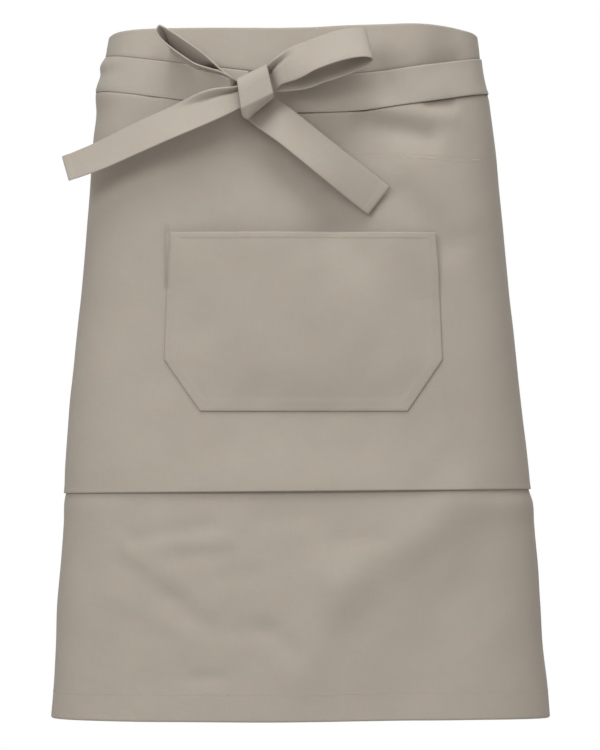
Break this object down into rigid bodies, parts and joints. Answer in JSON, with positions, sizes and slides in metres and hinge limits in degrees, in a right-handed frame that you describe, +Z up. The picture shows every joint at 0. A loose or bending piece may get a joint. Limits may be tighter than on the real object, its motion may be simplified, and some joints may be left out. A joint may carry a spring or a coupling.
{
  "type": "waist apron",
  "caption": "Cloth waist apron in its worn form: a wrap-round panel lapped over a lower panel, with a patch pocket and ties knotted in a bow at the front.",
  "frame": {"origin": "centre of the waist, level with the top edge at the front", "axes": "+Z up, -Y to the front, +X to the right as the front is seen"},
  "size_m": [0.4606, 0.2866, 0.6445],
  "materials": {
    "panel_cloth": "matt woven cloth",
    "tie_cloth": "matt woven cloth, folded double"
  },
  "bodies": {
    "root": {"upper_panel": "panel_cloth", "lower_panel": "panel_cloth", "pocket": "panel_cloth", "tie_left": "tie_cloth", "tie_right": "tie_cloth", "bow_knot": "tie_cloth", "bow_loop_left": "tie_cloth", "bow_loop_right": "tie_cloth", "bow_tail_left": "tie_cloth", "bow_tail_right": "tie_cloth"}
  },
  "joints": []
}
